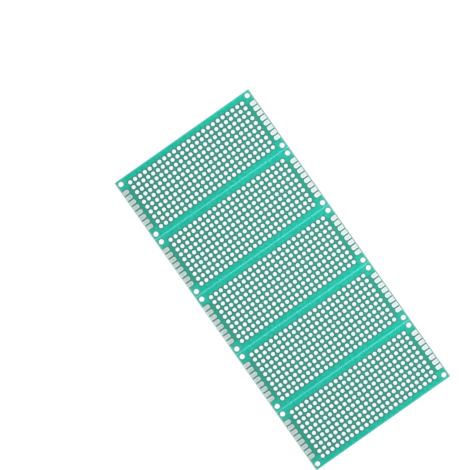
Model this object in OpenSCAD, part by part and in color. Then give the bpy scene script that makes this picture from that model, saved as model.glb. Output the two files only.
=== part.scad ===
// Panel of five double-sided prototype boards, still joined along their V-scored lines.
// X runs along the panel, across the boards, and Y along each board's columns of lead holes.
// The origin is under the panel's centre, on the plane of the pads on the underside.

/* [Panel] */
// Boards joined side by side
board_count = 5; // [2:1:6]
// Length of one board, along Y
board_l = 70; // [40:1:80]
// Width of one board, along X
board_w = 30; // [20:1:40]
// Thickness of the bare laminate
laminate_t = 1.6; // [1.2:0.1:2.4]

/* [Score lines] */
// Angle between the two walls of a score line
score_angle = 45; // [30:5:60]
// Laminate left between the upper and the lower score line
score_web = 0.5; // [0.4:0.05:0.7]
// Width of the flat root of a score line
score_root_w = 0.1; // [0.05:0.05:0.2]

/* [Lead holes] */
// Distance between neighbouring lead holes
pitch = 2.54; // [2.3:0.02:3]
// Diameter of the finished, plated hole
lead_hole_d = 1; // [0.8:0.05:1.2]
// Diameter of the round pads
pad_d = 1.9; // [1.6:0.05:2.1]
// Height of a tinned pad above the laminate
pad_t = 0.06; // [0.05:0.01:0.12]
// Width of the sloping shoulders of a round pad, at its rim and at its hole
pad_bevel = 0.12; // [0.04:0.01:0.14]
// Thickness of the plating in a lead hole
plating_t = 0.05; // [0.03:0.01:0.1]
// Clearance between the plating and the drilled wall of the laminate
drill_gap = 0.01; // [0.005:0.005:0.02]

/* [Edge pads] */
// Length of an edge pad, along Y
edge_pad_l = 3; // [2:0.1:3.2]
// Width of an edge pad, along X
edge_pad_w = 2; // [1.7:0.05:2.1]
// Radius of the two inner corners of an edge pad
edge_pad_r = 0.8; // [0.3:0.05:0.8]
// Bare strip between an edge pad and the end of the board
edge_pad_inset = 0.25; // [0.15:0.05:0.8]

/* [Mounting holes] */
// Diameter of the plain holes in a board's corners
mount_hole_d = 2.2; // [1.6:0.1:2.4]
// Distance from a mounting hole's centre to both edges of its board
mount_inset = 2; // [1.8:0.1:2.4]

/* [Solder mask] */
// Thickness of the solder mask film
mask_t = 0.03; // [0.02:0.005:0.045]
// Bare ring between the film and a pad or a mounting hole
mask_gap = 0.08; // [0.04:0.01:0.12]
// Bare strip between the film and a cut edge of the laminate
mask_margin = 0.1; // [0.05:0.05:0.3]

/* [Hidden] */
$fn = 48;

panel_l = board_count * board_w;
laminate_z = pad_t;
top_z = laminate_z + laminate_t;

// Lead holes that fit along and across a board, clear of its edge pads and mounting holes
cols = floor((board_l - 2 * (edge_pad_inset + edge_pad_l + pad_d)) / pitch) + 1;
rows = floor((board_w - 2 * mount_inset - mount_hole_d) / pitch) + 1;
// The two outer rows end at mounting holes, so they have no edge pads
edge_pad_count = rows - 2;

hole_r = lead_hole_d / 2;
barrel_r = hole_r + plating_t;
drill_r = barrel_r + drill_gap;
pad_r = pad_d / 2;
// The shoulders of a round pad take at most two thirds of its width
pad_shoulder = min(pad_bevel, (pad_r - hole_r) / 3);

score_depth = (laminate_t - score_web) / 2;
score_slope = tan(score_angle / 2);
score_half_w = score_root_w / 2 + score_depth * score_slope;
cut_over = 0.2;

laminate_colour = [0.80, 0.84, 0.68];
mask_colour = [0.08, 0.62, 0.50];
tin_colour = [0.86, 0.87, 0.88];

// Middle of board b on the X axis
function board_x(b) = (b - (board_count + 1) / 2) * board_w;

// Places of n things in a centred row, one pitch apart
function row_places(n) = [for (i = [0:n - 1]) (i - (n - 1) / 2) * pitch];

// Strip at a side of board b that the film leaves bare: side is -1 for low X and 1 for high X
function bare_side(b, side) =
    mask_margin + (b == (side < 0 ? 1 : board_count) ? 0 : score_half_w);

// Children at every lead hole of one board
module at_lead_holes() {
    for (x = row_places(rows), y = row_places(cols)) translate([x, y]) children();
}

// Children at the four mounting holes of one board
module at_mounting_holes() {
    for (sx = [-1, 1], sy = [-1, 1])
        translate([sx * (board_w / 2 - mount_inset), sy * (board_l / 2 - mount_inset)]) children();
}

// Children at one board's edge pads: end is -1 for the left row and 1 for the right row.
// Each child's Y axis points inwards from the pad's outer end.
module at_edge_pads(end) {
    for (x = row_places(edge_pad_count))
        translate([x, end * (board_l / 2 - edge_pad_inset)]) rotate(end > 0 ? 180 : 0) children();
}

// Outline of an edge pad, larger by grow all round: square outer end, rounded inner corners
module edge_pad_outline(grow = 0) {
    half_w = edge_pad_w / 2 + grow;
    r = edge_pad_r + grow;
    translate([-half_w, -grow]) square([2 * half_w, edge_pad_l + 2 * grow - r]);
    translate([-half_w + r, edge_pad_l + grow - r]) {
        square([2 * (half_w - r), r]);
        circle(r);
        translate([2 * (half_w - r), 0]) circle(r);
    }
}

// Outline of one board's solder mask film, open round each pad and mounting hole
module mask_outline(b) {
    low = -board_w / 2 + bare_side(b, -1);
    high = board_w / 2 - bare_side(b, 1);
    difference() {
        translate([low, -board_l / 2 + mask_margin]) square([high - low, board_l - 2 * mask_margin]);
        at_lead_holes() circle(pad_r + mask_gap);
        at_mounting_holes() circle(mount_hole_d / 2 + mask_gap);
        for (end = [-1, 1]) at_edge_pads(end) edge_pad_outline(mask_gap);
    }
}

// Section of the material that a score line takes out, its surface at y = 0 and its root below
module score_section() {
    reach = score_half_w + cut_over * score_slope;
    polygon([
        [-score_root_w / 2, -score_depth],
        [score_root_w / 2, -score_depth],
        [reach, cut_over],
        [-reach, cut_over]
    ]);
}

// Both score lines, on the top and on the underside, where board b meets the next one
module score_pair(b) {
    translate([board_x(b) + board_w / 2, 0, laminate_z + laminate_t / 2])
        for (side = [0, 180])
            rotate([0, side, 0])
                translate([0, board_l / 2 + cut_over, laminate_t / 2])
                    rotate([90, 0, 0])
                        linear_extrude(board_l + 2 * cut_over) score_section();
}

// One glass-fibre sheet for all the boards, drilled right through and scored on both faces
module laminate() {
    color(laminate_colour) difference() {
        translate([0, 0, laminate_z]) linear_extrude(laminate_t) difference() {
            square([panel_l, board_l], center = true);
            for (b = [1:board_count]) translate([board_x(b), 0]) {
                at_lead_holes() circle(drill_r);
                at_mounting_holes() circle(mount_hole_d / 2);
            }
        }
        for (b = [1:board_count - 1]) score_pair(b);
    }
}

// Film of board b, with its lower face at height z
module solder_mask(b, z) {
    color(mask_colour) translate([board_x(b), 0, z]) linear_extrude(mask_t) mask_outline(b);
}

// Plating of one lead hole: a barrel through the laminate with a bevelled round pad on each face
module plated_hole() {
    rotate_extrude() polygon([
        [hole_r, laminate_z],
        [hole_r + pad_shoulder, 0],
        [pad_r - pad_shoulder, 0],
        [pad_r, laminate_z],
        [barrel_r, laminate_z],
        [barrel_r, top_z],
        [pad_r, top_z],
        [pad_r - pad_shoulder, top_z + pad_t],
        [hole_r + pad_shoulder, top_z + pad_t],
        [hole_r, top_z]
    ]);
}

// The plating of all of board b's lead holes
module hole_plating(b) {
    color(tin_colour) translate([board_x(b), 0, 0]) at_lead_holes() plated_hole();
}

// Edge pads on both faces at one end of board b
module edge_pads(b, end) {
    color(tin_colour) for (z = [0, top_z])
        translate([board_x(b), 0, z]) at_edge_pads(end) linear_extrude(pad_t) edge_pad_outline();
}

laminate();
for (b = [1:board_count]) {
    hole_plating(b);
    solder_mask(b, top_z);
    solder_mask(b, laminate_z - mask_t);
    edge_pads(b, -1);
    edge_pads(b, 1);
}
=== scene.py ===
"""Looks of the panel of prototype boards: materials, domed edge pads, floor, light and camera."""

import math
import random

import bmesh
import bpy
from mathutils import Matrix, Vector


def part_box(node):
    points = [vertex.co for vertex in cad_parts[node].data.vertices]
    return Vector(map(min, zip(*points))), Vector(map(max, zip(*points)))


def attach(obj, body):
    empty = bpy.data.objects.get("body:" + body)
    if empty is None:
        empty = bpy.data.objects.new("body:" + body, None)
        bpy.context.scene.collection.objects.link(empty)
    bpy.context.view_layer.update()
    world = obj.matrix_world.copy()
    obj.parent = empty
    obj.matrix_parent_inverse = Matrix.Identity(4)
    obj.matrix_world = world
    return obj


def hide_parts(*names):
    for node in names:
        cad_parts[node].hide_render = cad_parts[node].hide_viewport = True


MM = 0.001

# The panel's layout, in millimetres, as the CAD model has it
BOARDS = range(1, 6)
BOARD_W = 30.0
BOARD_L = 70.0
PANEL_L = len(BOARDS) * BOARD_W
PITCH = 2.54
ROWS, COLS = 10, 24
PAD_D = 1.9
LEAD_HOLE_D = 1.0
PAD_T = 0.06
EDGE_PAD_COUNT = 8
EDGE_PAD_L = 3.0
EDGE_PAD_W = 2.0
EDGE_PAD_INSET = 0.25
MOUNT_INSET = 2.0

# What follows from it: how far the lead pads and a row of edge pads reach from a board's middle, and how far
# from there the two ends of an edge pad are
FIELD_HALF_W = ((ROWS - 1) * PITCH + PAD_D) / 2
FIELD_HALF_L = ((COLS - 1) * PITCH + PAD_D) / 2
EDGE_ROW_HALF_W = ((EDGE_PAD_COUNT - 1) * PITCH + EDGE_PAD_W) / 2
OUTER_END = BOARD_L / 2 - EDGE_PAD_INSET
INNER_END = OUTER_END - EDGE_PAD_L

# A domed edge pad, in millimetres: corner radii at its outer and inner end, the least radius that a corner
# keeps on the crown, the width of the sloping rim, and the most that a crown leans to one side, where the
# molten tin gathered
OUTER_R, INNER_R, LEAST_R = 0.12, 0.8, 0.04
DOME_REACH = 0.5
CROWN_LEAN = 0.14
# Steps from the foot of a dome to its crown, and points in each corner of its outline
DOME_STEPS = 5
CORNER_POINTS = 6

# Colours of the lacquer, linear
MASK_ON_MARGIN = (0.014, 0.515, 0.375)
MASK_BETWEEN_PADS = (0.048, 0.350, 0.252)
# Painted shade: the darker lacquer round each lead pad
MASK_PAINTED_SHADE_ROUND_PADS = (0.044, 0.205, 0.158)
MASK_AT_FIELD_END = (0.036, 0.350, 0.252)
MASK_BY_EDGE_PADS = (0.130, 0.240, 0.178)
MASK_BY_HOLES = (0.060, 0.425, 0.335)
MASK_BY_END = (0.300, 0.600, 0.525)
MASK_BY_SIDE = (0.095, 0.600, 0.500)
# How far the lacquer strays to each side of its colour, as a share of each part
MARGIN_CLOUDS = (0.50, 0.07, 0.08)
FIELD_CLOUDS = (0.16, 0.07, 0.08)

# Colours of the bare laminate, linear
# Dark resin with painted shade: the bare laminate in the openings round the pads
RESIN_AND_SHADE_BY_PADS = (0.020, 0.120, 0.090)
RESIN_ON_MARGIN = (0.060, 0.600, 0.500)
RESIN_BY_CUT = (0.480, 0.660, 0.600)
SCORE_WALL = (0.200, 0.870, 0.820)
CUT_EDGE = (0.560, 0.700, 0.520)
CUT_PLY = (0.430, 0.560, 0.370)
# Painted shade: the walls of the holes, darker than the cut edges
DRILLED_WALL_PAINTED_SHADE = (0.260, 0.430, 0.320)

# Colours of the tin, linear
BRIGHT_TIN = (0.82, 0.96, 0.98)
# Painted shade and painted reflection of the green lacquer: the dark teal rim round the edge of each pad
PAINTED_SHADE_TIN_RIM = (0.12, 0.54, 0.50)
# Painted shade: the tin down inside a lead hole
BARREL_TIN_PAINTED_SHADE = (0.34, 0.48, 0.48)
# Lit and shaded copies of one tin: the left rows darker as painted shade, the right rows brighter as painted
# light
LEFT_TIN_PAINTED_SHADE = (0.49, 0.53, 0.525)
RIGHT_TIN_PAINTED_LIGHT = (0.78, 0.805, 0.82)
# Painted shade at the outermost end of an edge pad: a little darker than the crown at the left end, much
# darker and greener at the right
LEFT_END_PAINTED_SHADE = (0.46, 0.52, 0.50)
RIGHT_END_PAINTED_SHADE = (0.34, 0.48, 0.42)
# Painted highlight and painted reflection of the green lacquer on the slope of an edge pad: how much
# brighter and greener than the crown it is made
SLOPE_PAINTED_HIGHLIGHT = (1.02, 1.27, 1.24)
# What turns a crown a little to pink or to green, and the bright tin to the duller of its patches
PINK_CAST = (1.05, 0.95, 0.96)
GREEN_CAST = (0.94, 1.01, 0.98)
DULL_PATCH = (0.95, 0.95, 0.95)

# Finish: roughness and specular level of the lacquer and the laminate
MASK_FINISH = {"Roughness": 0.35, "Specular_IOR_Level": 0.15}
LAMINATE_FINISH = {"Roughness": 0.7, "Specular_IOR_Level": 0.1}
# Width in millimetres of a pad's rim of painted shade and painted reflection of the green lacquer, and
# roughness of its tin
ROUND_PAD_SHADE_RIM, ROUND_PAD_ROUGHNESS = 0.14, 0.25
LEFT_PAD_SHADE_RIM, LEFT_PAD_ROUGHNESS = 0.15, 0.35
RIGHT_PAD_SHADE_RIM, RIGHT_PAD_ROUGHNESS = 0.07, 0.3

# Lumps of the noises, in millimetres
MARGIN_CLOUD_SIZE = 1.6
FIELD_CLOUD_SIZE = 2.0
TIN_CLOUD_SIZE = 1.2
CAST_SIZE = 2.2
WANDER_SIZE = 1.4
PLY_SIZE = 2.4
# How many times finer the plies are upwards than along the edge, and the detail in their noise
PLY_STRETCH = 14.0
PLY_DETAIL = 3.0
# Lumps and depth of the bumps in each surface, in millimetres
MASK_BUMPS = (0.9, 0.004)
LAMINATE_BUMPS = (0.4, 0.003)
TIN_BUMPS = (0.35, 0.006)
# Values of a noise between which one colour gives way to the other, for clouds and plies, and for casts
CLOUD_FADE = (0.35, 0.65)
CAST_FADE = (0.3, 0.7)

# Distances in millimetres over which one tone gives way to the next.
# Past the pads, out to the margin
MARGIN_FADE = (-0.2, 0.9)
# From the middle of a lead pad, through the painted shade round it
PAD_FADE = (1.05, 1.45)
# From the middle of a mounting hole
MOUNT_FADE = (1.3, 2.2)
# Past the end of the field of lead pads, and past the inner ends of the edge pads
FIELD_END_FADE = (-0.1, 0.5)
EDGE_PADS_FADE = (0.1, 0.9)
# Up to a cut edge of the panel, and up to the outer end of an edge pad
CUT_FADE = (-0.85, -0.1)
PAD_END_FADE = (-0.5, -0.1)
# From the crown of an edge pad down its slope, over which the painted highlight comes in, and the width over
# which that wanders
SLOPE_HIGHLIGHT_FADE = (-0.95, -0.05)
SLOPE_HIGHLIGHT_WANDER = 0.8

# A face of the laminate is cut where its normal's upright part is below the first of these, and is the wall
# of a hole or an outer edge where it is below the second
CUT_BELOW, UPRIGHT_BELOW = 0.95, 0.2
# Slack in telling the outer edges and the walls of the plated holes by their place, in millimetres
EDGE_SLACK, HOLE_SLACK = 0.01, 0.005

# The floor: half its width in metres, its height in millimetres, its colour under the lamps, the colour and
# strength of the white that it shows itself, and the share of that white in what is seen
FLOOR_SIZE = 3.0
FLOOR_Z = -0.02
FLOOR_LIT = (0.9, 0.9, 0.9)
FLOOR_SEEN = (0.98, 1.0, 1.02)
FLOOR_GLOW = 1.16
GLOW_SHARE = 0.8

# Lamps: place and width in metres, and energy in watts
KEY_LAMP = ((0.0, -0.2, 0.3), 0.15, 0.16)
FILL_LAMP = ((0.0, 0.22, 0.22), 0.2, 0.68)
# Strength of the white surroundings, as light on the panel and as they are seen
WORLD_LIT = 0.45
WORLD_SEEN = 1.0

# The camera looks straight down from afar, with the panel turned on the floor as in the photograph. In
# millimetres: where it aims, its height, and the widths of the picture at the panel and of the sensor
CAMERA_TURN = math.radians(54.85)
CAMERA_AIM = (-27.27, -5.58)
CAMERA_HEIGHT = 1500.0
FRAME_W = 201.0
SENSOR_W = 36.0
# How far the camera sees, in metres
CLIP_END = 10.0


def feed(tree, sockets, values):
    """Gives each socket its value: another node's output is linked, and a number or colour is set."""
    for socket, value in zip(sockets, values):
        if isinstance(value, bpy.types.NodeSocket):
            tree.links.new(value, socket)
        elif socket.type == "RGBA":
            socket.default_value = (*value, 1.0)
        else:
            socket.default_value = value


def math_node(tree, operation, *inputs):
    """Adds a Math node. Each input is a number or another node's output. Returns its output."""
    node = tree.nodes.new("ShaderNodeMath")
    node.operation = operation
    feed(tree, node.inputs, inputs)
    return node.outputs[0]


def split(tree, vector):
    """The three parts of a vector."""
    node = tree.nodes.new("ShaderNodeSeparateXYZ")
    tree.links.new(vector, node.inputs[0])
    return node.outputs


def smooth_step(tree, value, low, high):
    """0 where value is below low and 1 where it is above high, with a smooth change between."""
    node = tree.nodes.new("ShaderNodeMapRange")
    node.interpolation_type = "SMOOTHSTEP"
    feed(tree, node.inputs, (value, low, high, 0.0, 1.0))
    return node.outputs[0]


def fade(tree, length, fade_mm, start_mm=0.0):
    """0 below one length and 1 above another, both held by fade_mm and counted from start_mm."""
    low, high = ((start_mm + end_mm) * MM for end_mm in fade_mm)
    return smooth_step(tree, length, low, high)


def blend(tree, share, first, second):
    """Colour between first, where share is 0, and second, where it is 1."""
    node = tree.nodes.new("ShaderNodeMix")
    node.data_type = "RGBA"
    factor = next(s for s in node.inputs if s.name == "Factor" and s.type == "VALUE")
    colours = [s for s in node.inputs if s.type == "RGBA"]
    feed(tree, (factor, *colours), (share, first, second))
    return next(s for s in node.outputs if s.type == "RGBA")


def noise(tree, place, size_mm, detail=2.0):
    """Noise with lumps of about size_mm."""
    node = tree.nodes.new("ShaderNodeTexNoise")
    tree.links.new(place, node.inputs["Vector"])
    node.inputs["Scale"].default_value = 1 / (size_mm * MM)
    node.inputs["Detail"].default_value = detail
    return node.outputs[0]


def scaled(colour, gain):
    """A colour with each part multiplied by its gain."""
    return [c * g for c, g in zip(colour, gain)]


def clouded(tree, place, colour, spread, size_mm):
    """A colour that strays by its spread to each side, in soft clouds of about size_mm."""
    clouds = smooth_step(tree, noise(tree, place, size_mm), *CLOUD_FADE)
    darker = scaled(colour, [1 - s for s in spread])
    lighter = scaled(colour, [1 + s for s in spread])
    return blend(tree, clouds, darker, lighter)


def add_bumps(tree, bsdf, place, size_mm, depth_mm):
    """Gives a surface soft bumps of about size_mm, depth_mm deep."""
    node = tree.nodes.new("ShaderNodeBump")
    node.inputs["Distance"].default_value = depth_mm * MM
    tree.links.new(noise(tree, place, size_mm), node.inputs["Height"])
    tree.links.new(node.outputs["Normal"], bsdf.inputs["Normal"])


def new_material(name, **settings):
    """Node material with the given values on its Principled shader.

    Returns the material, its node tree, the shader and the output that gives a point's place.
    """
    material = bpy.data.materials.new(name)
    material.use_nodes = True
    tree = material.node_tree
    bsdf = tree.nodes["Principled BSDF"]
    for socket, value in settings.items():
        bsdf.inputs[socket.replace("_", " ")].default_value = value
    place = tree.nodes.new("ShaderNodeTexCoord").outputs["Object"]
    return material, tree, bsdf, place


def board_axes(tree, place):
    """Signed distances of a point from the middle of its board, across and along the board."""
    axes = split(tree, place)
    return math_node(tree, "WRAP", axes["X"], BOARD_W / 2 * MM, -BOARD_W / 2 * MM), axes["Y"]


def from_middle(tree, place):
    """Distance of a point from the line through the middles of the boards."""
    return math_node(tree, "ABSOLUTE", split(tree, place)["Y"])


def beyond(tree, across, along, half_w, half_l):
    """How far a point lies outside a centred rectangle, less than 0 inside.

    half_w and half_l are half the rectangle's sides, in millimetres.
    """
    over_w = math_node(tree, "SUBTRACT", math_node(tree, "ABSOLUTE", across), half_w * MM)
    over_l = math_node(tree, "SUBTRACT", math_node(tree, "ABSOLUTE", along), half_l * MM)
    return math_node(tree, "MAXIMUM", over_w, over_l)


def margin_share(tree, place):
    """0 among the pads and 1 on the bare margins of a board, with a soft change between."""
    across, along = board_axes(tree, place)
    off_field = beyond(tree, across, along, FIELD_HALF_W, FIELD_HALF_L)
    off_edge_row = beyond(tree, across, along, EDGE_ROW_HALF_W, BOARD_L / 2)
    return fade(tree, math_node(tree, "MINIMUM", off_field, off_edge_row), MARGIN_FADE)


def cut_share(tree, place, axis, size):
    """0 inside the panel and 1 along the two cut edges across an axis, with a soft change between."""
    reach = math_node(tree, "ABSOLUTE", split(tree, place)[axis])
    return fade(tree, reach, CUT_FADE, size / 2)


def distance(tree, across, along):
    """Length of a flat vector."""
    squares = math_node(tree, "MULTIPLY_ADD", across, across, math_node(tree, "MULTIPLY", along, along))
    return math_node(tree, "SQRT", squares)


def mount_hole_share(tree, place):
    """0 at the rim of a mounting hole, 1 away from it."""
    offsets = [
        math_node(tree, "SUBTRACT", math_node(tree, "ABSOLUTE", axis), (size / 2 - MOUNT_INSET) * MM)
        for axis, size in zip(board_axes(tree, place), (BOARD_W, BOARD_L))
    ]
    return fade(tree, distance(tree, *offsets), MOUNT_FADE)


def from_pad_middle(tree, place):
    """Signed distances of a point from the middle of its lead pad, across and along the board.

    The edge pads stand in the same rows, so the first holds for them too.
    """
    return [
        math_node(tree, "SUBTRACT", math_node(tree, "WRAP", axis, PITCH * MM, 0.0), PITCH / 2 * MM)
        for axis in board_axes(tree, place)
    ]


def solder_mask_material():
    """Glossy green lacquer, bright on the margins, darker between the pads, with painted shade round each
    pad, and paler along the cut edges.
    """
    material, tree, bsdf, place = new_material("solder_mask", **MASK_FINISH)
    along = from_middle(tree, place)
    off_pads = fade(tree, distance(tree, *from_pad_middle(tree, place)), PAD_FADE)
    at_field_end = fade(tree, along, FIELD_END_FADE, FIELD_HALF_L)
    by_edge_pads = fade(tree, along, EDGE_PADS_FADE, INNER_END)
    between = clouded(tree, place, MASK_BETWEEN_PADS, FIELD_CLOUDS, FIELD_CLOUD_SIZE)
    # Painted shade round each pad
    shaded = blend(tree, off_pads, MASK_PAINTED_SHADE_ROUND_PADS, between)
    shaded = blend(tree, at_field_end, shaded, MASK_AT_FIELD_END)
    shaded = blend(tree, by_edge_pads, shaded, MASK_BY_EDGE_PADS)
    margin = clouded(tree, place, MASK_ON_MARGIN, MARGIN_CLOUDS, MARGIN_CLOUD_SIZE)
    colour = blend(tree, margin_share(tree, place), shaded, margin)
    colour = blend(tree, mount_hole_share(tree, place), MASK_BY_HOLES, colour)
    colour = blend(tree, cut_share(tree, place, "X", PANEL_L), colour, MASK_BY_SIDE)
    colour = blend(tree, cut_share(tree, place, "Y", BOARD_L), colour, MASK_BY_END)
    tree.links.new(colour, bsdf.inputs["Base Color"])
    add_bumps(tree, bsdf, place, *MASK_BUMPS)
    return material


def plies(tree, place):
    """Fine level streaks, as the glass-cloth plies show in a cut edge."""
    stretched = tree.nodes.new("ShaderNodeMapping")
    tree.links.new(place, stretched.inputs["Vector"])
    stretched.inputs["Scale"].default_value = (1.0, 1.0, PLY_STRETCH)
    return smooth_step(tree, noise(tree, stretched.outputs[0], PLY_SIZE, PLY_DETAIL), *CLOUD_FADE)


def laminate_material():
    """Glass-epoxy: dark resin with painted shade round the pads, pale cut fibre in the score lines and round
    the outside, and painted shade on the walls of the holes.
    """
    material, tree, bsdf, place = new_material("laminate", **LAMINATE_FINISH)
    normal = tree.nodes.new("ShaderNodeNewGeometry").outputs["Normal"]
    upwards = math_node(tree, "ABSOLUTE", split(tree, normal)["Z"])
    cut = math_node(tree, "LESS_THAN", upwards, CUT_BELOW)
    upright = math_node(tree, "LESS_THAN", upwards, UPRIGHT_BELOW)
    axes = split(tree, place)
    past_side = beyond(tree, axes["X"], axes["Y"], PANEL_L / 2, BOARD_L / 2)
    outside = math_node(tree, "GREATER_THAN", past_side, -EDGE_SLACK * MM)
    face = blend(tree, margin_share(tree, place), RESIN_AND_SHADE_BY_PADS, RESIN_ON_MARGIN)
    face = blend(tree, cut_share(tree, place, "Y", BOARD_L), face, RESIN_BY_CUT)
    # Painted shade on the walls of the holes
    wall = blend(tree, upright, SCORE_WALL, DRILLED_WALL_PAINTED_SHADE)
    wall = blend(tree, outside, wall, blend(tree, plies(tree, place), CUT_PLY, CUT_EDGE))
    tree.links.new(blend(tree, cut, face, wall), bsdf.inputs["Base Color"])
    add_bumps(tree, bsdf, place, *LAMINATE_BUMPS)
    return material


def tin_material(name, tone, outward, shade_rim_w, roughness):
    """Hot-tinned copper with a dark rim of painted shade and painted reflection of the green lacquer, as
    wide as the given rim width.

    tone and outward are functions of the node tree and a point's place. tone gives the colour, and outward
    how far the point lies outside its pad.
    """
    material, tree, bsdf, place = new_material(name, Metallic=1.0, Roughness=roughness)
    # Painted shade and painted green reflection, darkening the pad towards its rim
    rim = fade(tree, outward(tree, place), (-shade_rim_w, 0.0))
    colour = blend(tree, rim, tone(tree, place), PAINTED_SHADE_TIN_RIM)
    tree.links.new(colour, bsdf.inputs["Base Color"])
    add_bumps(tree, bsdf, place, *TIN_BUMPS)
    return material


def outside_round_pad(tree, place):
    """How far a point lies outside its round pad, less than 0 inside."""
    return math_node(tree, "SUBTRACT", distance(tree, *from_pad_middle(tree, place)), PAD_D / 2 * MM)


def outside_edge_pad(tree, place):
    """How far a point lies outside its edge pad, less than 0 inside. The pad's outer end has no rim."""
    across = math_node(tree, "ABSOLUTE", from_pad_middle(tree, place)[0])
    off_across = math_node(tree, "SUBTRACT", across, (EDGE_PAD_W / 2 - INNER_R) * MM)
    off_along = math_node(tree, "SUBTRACT", (INNER_END + INNER_R) * MM, from_middle(tree, place))
    past_corner = [math_node(tree, "MAXIMUM", off, 0.0) for off in (off_across, off_along)]
    return math_node(tree, "SUBTRACT", distance(tree, *past_corner), INNER_R * MM)


def plain_tone(tree, place):
    """Bright tin with faint cloudy patches, darkened by painted shade inside the hole."""
    patches = noise(tree, place, TIN_CLOUD_SIZE)
    crown = blend(tree, patches, scaled(BRIGHT_TIN, DULL_PATCH), BRIGHT_TIN)
    from_axis = distance(tree, *from_pad_middle(tree, place))
    hole_shade_share = math_node(tree, "LESS_THAN", from_axis, (LEAD_HOLE_D / 2 + HOLE_SLACK) * MM)
    # Painted shade inside the hole
    return blend(tree, hole_shade_share, crown, BARREL_TIN_PAINTED_SHADE)


def crown_tone(colour, end_shade_colour):
    """Makes the tone function of an edge pad.

    The crown leans to pink or green, the slope round it gets a painted highlight and a painted reflection of
    the green lacquer, and the outer end has its own colour of painted shade.
    """

    def tone(tree, place):
        """Colour of the pad at a place."""
        cast = smooth_step(tree, noise(tree, place, CAST_SIZE, detail=0.0), *CAST_FADE)
        crown = blend(tree, cast, scaled(colour, PINK_CAST), scaled(colour, GREEN_CAST))
        wander = noise(tree, place, WANDER_SIZE, detail=0.0)
        wander = math_node(tree, "MULTIPLY_ADD", wander, SLOPE_HIGHLIGHT_WANDER * MM, -SLOPE_HIGHLIGHT_WANDER / 2 * MM)
        from_rim = math_node(tree, "ADD", outside_edge_pad(tree, place), wander)
        # Painted highlight and painted green reflection on the slope
        slope = fade(tree, from_rim, SLOPE_HIGHLIGHT_FADE)
        domed = blend(tree, slope, crown, scaled(colour, SLOPE_PAINTED_HIGHLIGHT))
        # Painted shade at the outer end of the pad
        end_shade_share = fade(tree, from_middle(tree, place), PAD_END_FADE, OUTER_END)
        return blend(tree, end_shade_share, domed, end_shade_colour)

    return tone


def dress(nodes, names, material):
    """Gives the CAD nodes of these names a material."""
    for name in names:
        slots = nodes[name].data.materials
        slots.clear()
        slots.append(material)


def pad_ring(inset):
    """Outline of an edge pad, drawn in by inset.

    The points are (across, inwards) from the middle of the pad's outer end.
    """
    half_w = EDGE_PAD_W / 2 - inset
    outer_r, inner_r = max(OUTER_R - inset, LEAST_R), max(INNER_R - inset, LEAST_R)
    corners = [
        (-half_w + outer_r, inset + outer_r, outer_r, 180),
        (half_w - outer_r, inset + outer_r, outer_r, 270),
        (half_w - inner_r, EDGE_PAD_L - inset - inner_r, inner_r, 0),
        (-half_w + inner_r, EDGE_PAD_L - inset - inner_r, inner_r, 90),
    ]
    return [
        (x + r * math.cos(angle), y + r * math.sin(angle))
        for x, y, r, start in corners
        for angle in (math.radians(start + 90 * k / (CORNER_POINTS - 1)) for k in range(CORNER_POINTS))
    ]


def add_edge_pad(mesh, place, lean):
    """Adds one domed pad to a mesh.

    place is its matrix, and lean is how far its crown leans across and along.
    """
    rings = []
    for step in range(DOME_STEPS + 1):
        angle = step / DOME_STEPS * math.pi / 2
        rise = math.sin(angle)
        inset = DOME_REACH * (1 - math.cos(angle))
        points = [(x + rise * lean[0], y + rise * lean[1], rise * PAD_T) for x, y in pad_ring(inset)]
        rings.append([mesh.verts.new(place @ Vector(p)) for p in points])
    count = len(rings[0])
    for low, high in zip(rings, rings[1:]):
        for k in range(count):
            mesh.faces.new((low[k], low[(k + 1) % count], high[(k + 1) % count], high[k]))
    mesh.faces.new(rings[-1])
    mesh.faces.new(reversed(rings[0]))


def edge_pad_places(board, end):
    """Matrices of the edge pads at one end of a board, on both faces. end is -1 for left and 1 for right."""
    middle = (board - (len(BOARDS) + 1) / 2) * BOARD_W
    turn = Matrix.Rotation(math.pi if end > 0 else 0, 4, "Z")
    laminate_low, laminate_high = (corner.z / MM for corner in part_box("laminate"))
    for k in range(EDGE_PAD_COUNT):
        x = middle + (k - (EDGE_PAD_COUNT - 1) / 2) * PITCH
        for z, side in ((laminate_high, 1), (laminate_low, -1)):
            move = Matrix.Translation((x, end * OUTER_END, z))
            yield Matrix.Scale(MM, 4) @ move @ turn @ Matrix.Diagonal((1, 1, side, 1))


def build_edge_pads(board, end, material):
    """The domed edge pads at one end of a board, in place of the plain CAD ones."""
    side = "left" if end < 0 else "right"
    chance = random.Random(2 * board + (end > 0))
    mesh = bmesh.new()
    for place in edge_pad_places(board, end):
        lean = [chance.uniform(-CROWN_LEAN, CROWN_LEAN) for _ in "xy"]
        add_edge_pad(mesh, place, lean)
    bmesh.ops.recalc_face_normals(mesh, faces=mesh.faces)
    for face in mesh.faces:
        face.smooth = True
    data = bpy.data.meshes.new(f"domed_edge_pads_{side}_{board}")
    mesh.to_mesh(data)
    mesh.free()
    data.materials.append(material)
    piece = bpy.data.objects.new(data.name, data)
    bpy.context.scene.collection.objects.link(piece)
    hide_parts(f"edge_pads_{side}_{board}")
    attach(piece, "root")


def seen_directly(tree):
    """1 for what is seen, also in reflections and through clear things, and 0 for light on the panel."""
    path = tree.nodes.new("ShaderNodeLightPath").outputs
    seen = math_node(tree, "MAXIMUM", path["Is Camera Ray"], path["Is Glossy Ray"])
    return math_node(tree, "MAXIMUM", seen, path["Is Transmission Ray"])


def mix_shaders(tree, share, first, second):
    """Shader node between first, where share is 0, and second, where it is 1."""
    node = tree.nodes.new("ShaderNodeMixShader")
    feed(tree, node.inputs, (share, first.outputs[0], second.outputs[0]))
    return node


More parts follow.
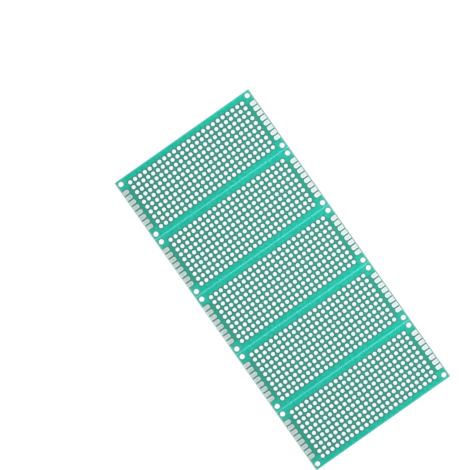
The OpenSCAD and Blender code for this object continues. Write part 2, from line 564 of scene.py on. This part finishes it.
def floor_material():
    """White that keeps the faint shadow of the panel. It is clear from below, so the underside shows."""
    material = bpy.data.materials.new("floor")
    material.use_nodes = True
    tree = material.node_tree
    tree.nodes.clear()
    lit = tree.nodes.new("ShaderNodeBsdfDiffuse")
    lit.inputs["Color"].default_value = (*FLOOR_LIT, 1.0)
    white = tree.nodes.new("ShaderNodeEmission")
    white.inputs["Color"].default_value = (*FLOOR_SEEN, 1.0)
    white.inputs["Strength"].default_value = FLOOR_GLOW
    clear = tree.nodes.new("ShaderNodeBsdfTransparent")
    glow = math_node(tree, "MULTIPLY", seen_directly(tree), GLOW_SHARE)
    top = mix_shaders(tree, glow, lit, white)
    from_below = tree.nodes.new("ShaderNodeNewGeometry").outputs["Backfacing"]
    whole = mix_shaders(tree, from_below, top, clear)
    output = tree.nodes.new("ShaderNodeOutputMaterial")
    tree.links.new(whole.outputs[0], output.inputs["Surface"])
    return material


def build_floor():
    """Wide level floor, just under the panel."""
    signs = ((-1, -1), (1, -1), (1, 1), (-1, 1))
    corners = [(x * FLOOR_SIZE, y * FLOOR_SIZE, FLOOR_Z * MM) for x, y in signs]
    data = bpy.data.meshes.new("floor")
    data.from_pydata(corners, [], [(0, 1, 2, 3)])
    data.materials.append(floor_material())
    floor = bpy.data.objects.new("floor", data)
    bpy.context.scene.collection.objects.link(floor)


def add_lamp(name, place, size, energy):
    """Soft round lamp at a place, aimed at the middle of the panel."""
    data = bpy.data.lights.new(name, "AREA")
    data.shape = "DISK"
    data.size = size
    data.energy = energy
    lamp = bpy.data.objects.new(name, data)
    lamp.location = place
    lamp.rotation_euler = (-lamp.location).to_track_quat("-Z", "Y").to_euler()
    bpy.context.scene.collection.objects.link(lamp)
    return lamp


def build_light():
    """Pale surroundings, a soft lamp that the tin mirrors and a broad one that it doesn't."""
    world = bpy.data.worlds.new("studio")
    bpy.context.scene.world = world
    world.use_nodes = True
    tree = world.node_tree
    strength = math_node(tree, "MULTIPLY_ADD", seen_directly(tree), WORLD_SEEN - WORLD_LIT, WORLD_LIT)
    tree.links.new(strength, tree.nodes["Background"].inputs["Strength"])
    tree.nodes["Background"].inputs["Color"].default_value = (1, 1, 1, 1)
    add_lamp("key", *KEY_LAMP)
    fill = add_lamp("fill", *FILL_LAMP)
    fill.visible_glossy = False


def build_camera():
    """Camera straight above, turned so that the panel lies across the picture as in the photograph."""
    data = bpy.data.cameras.new("camera")
    data.sensor_width = SENSOR_W
    data.lens = SENSOR_W * CAMERA_HEIGHT / FRAME_W
    data.clip_end = CLIP_END
    camera = bpy.data.objects.new("camera", data)
    camera.location = Vector((*CAMERA_AIM, CAMERA_HEIGHT)) * MM
    camera.rotation_euler = (0, 0, CAMERA_TURN)
    bpy.context.scene.collection.objects.link(camera)
    bpy.context.scene.camera = camera


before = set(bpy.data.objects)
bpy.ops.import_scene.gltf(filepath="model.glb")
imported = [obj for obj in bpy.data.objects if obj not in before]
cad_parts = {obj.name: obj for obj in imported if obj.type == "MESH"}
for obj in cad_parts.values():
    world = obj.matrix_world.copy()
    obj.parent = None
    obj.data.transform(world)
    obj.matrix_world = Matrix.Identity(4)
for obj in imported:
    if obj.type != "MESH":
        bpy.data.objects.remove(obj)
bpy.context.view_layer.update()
build_camera()

green = solder_mask_material()
bright_tin = tin_material("tin", plain_tone, outside_round_pad, ROUND_PAD_SHADE_RIM, ROUND_PAD_ROUGHNESS)
dress(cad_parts, ["laminate"], laminate_material())
for board in BOARDS:
    dress(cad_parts, [f"solder_mask_top_{board}", f"solder_mask_bottom_{board}"], green)
    dress(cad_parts, [f"hole_plating_{board}"], bright_tin)

# Painted shade on the left rows of edge pads and painted light on the right rows
left_tone_painted_shade = crown_tone(LEFT_TIN_PAINTED_SHADE, LEFT_END_PAINTED_SHADE)
left_tin_painted_shade = tin_material("edge_tin_left_painted_shade", left_tone_painted_shade, outside_edge_pad, LEFT_PAD_SHADE_RIM, LEFT_PAD_ROUGHNESS)
right_tone_painted_light = crown_tone(RIGHT_TIN_PAINTED_LIGHT, RIGHT_END_PAINTED_SHADE)
right_tin_painted_light = tin_material("edge_tin_right_painted_light", right_tone_painted_light, outside_edge_pad, RIGHT_PAD_SHADE_RIM, RIGHT_PAD_ROUGHNESS)
for board in BOARDS:
    build_edge_pads(board, -1, left_tin_painted_shade)
    build_edge_pads(board, 1, right_tin_painted_light)

build_floor()
build_light()
bpy.context.scene.view_settings.view_transform = "Standard"
